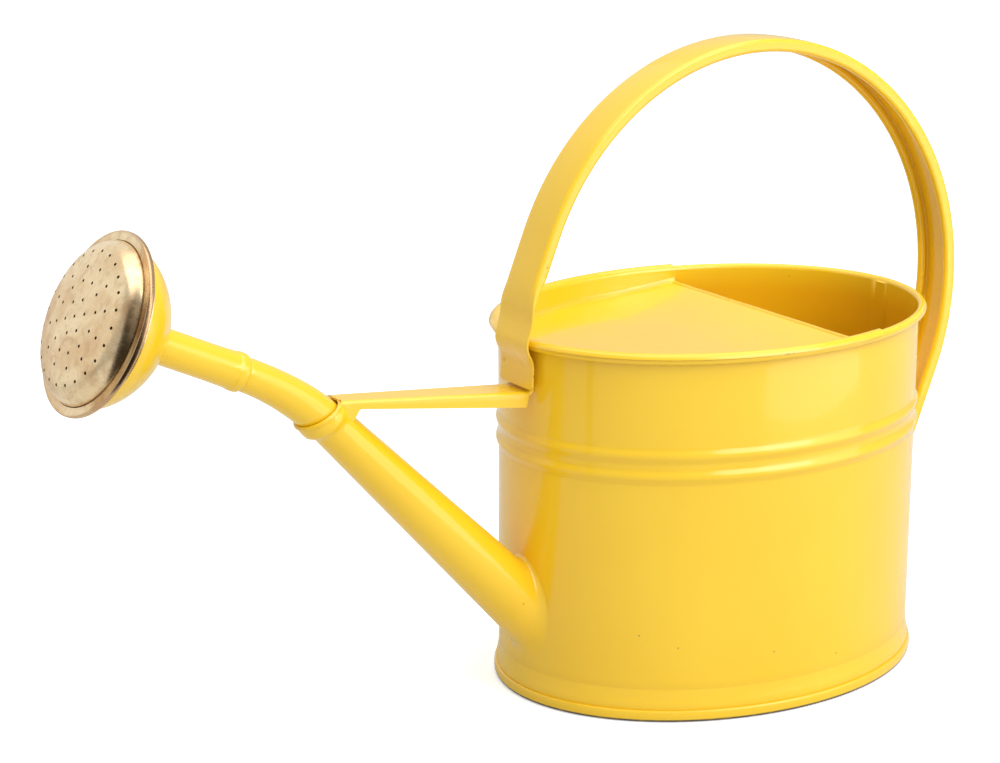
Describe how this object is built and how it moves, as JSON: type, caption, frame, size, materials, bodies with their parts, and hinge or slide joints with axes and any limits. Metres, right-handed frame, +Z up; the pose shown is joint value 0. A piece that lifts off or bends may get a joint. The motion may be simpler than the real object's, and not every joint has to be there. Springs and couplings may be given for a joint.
{
  "type": "watering can",
  "caption": "Oval sheet-metal watering can with a half cover, strap handle, braced spout, bent neck and a round brass rose.",
  "frame": {"origin": "centre of the oval base, on the surface the can stands on", "axes": "+Z up, -X along the spout, Y across the can, which is mirror symmetric about Y = 0"},
  "size_m": [0.4432, 0.1612, 0.277],
  "materials": {
    "yellow_paint": "glossy yellow powder coat",
    "brass": "satin, slightly tarnished",
    "steel_wire": "plain wire"
  },
  "bodies": {
    "can": {"body_wall": "yellow_paint", "rim_wire": "steel_wire", "base_pan": "yellow_paint", "top_cover": "yellow_paint", "handle_strap": "yellow_paint", "brace": "yellow_paint", "spout_tube": "yellow_paint"},
    "neck": {"neck_tube": "yellow_paint"},
    "rose": {"rose_sleeve": "yellow_paint", "rose_bowl": "yellow_paint", "rose_face": "brass"}
  },
  "joints": [
    {"name": "neck_turn", "type": "hinge", "parent": "can", "child": "neck", "pos_m": [-0.1969, 0, 0.14207], "axis": [-0.6997, 0, 0.7145], "range_deg": [-180, 180]},
    {"name": "rose_pull", "type": "slide", "parent": "neck", "child": "rose", "axis": [-0.9063, 0, 0.4226], "range_m": [0, 0.014]}
  ]
}
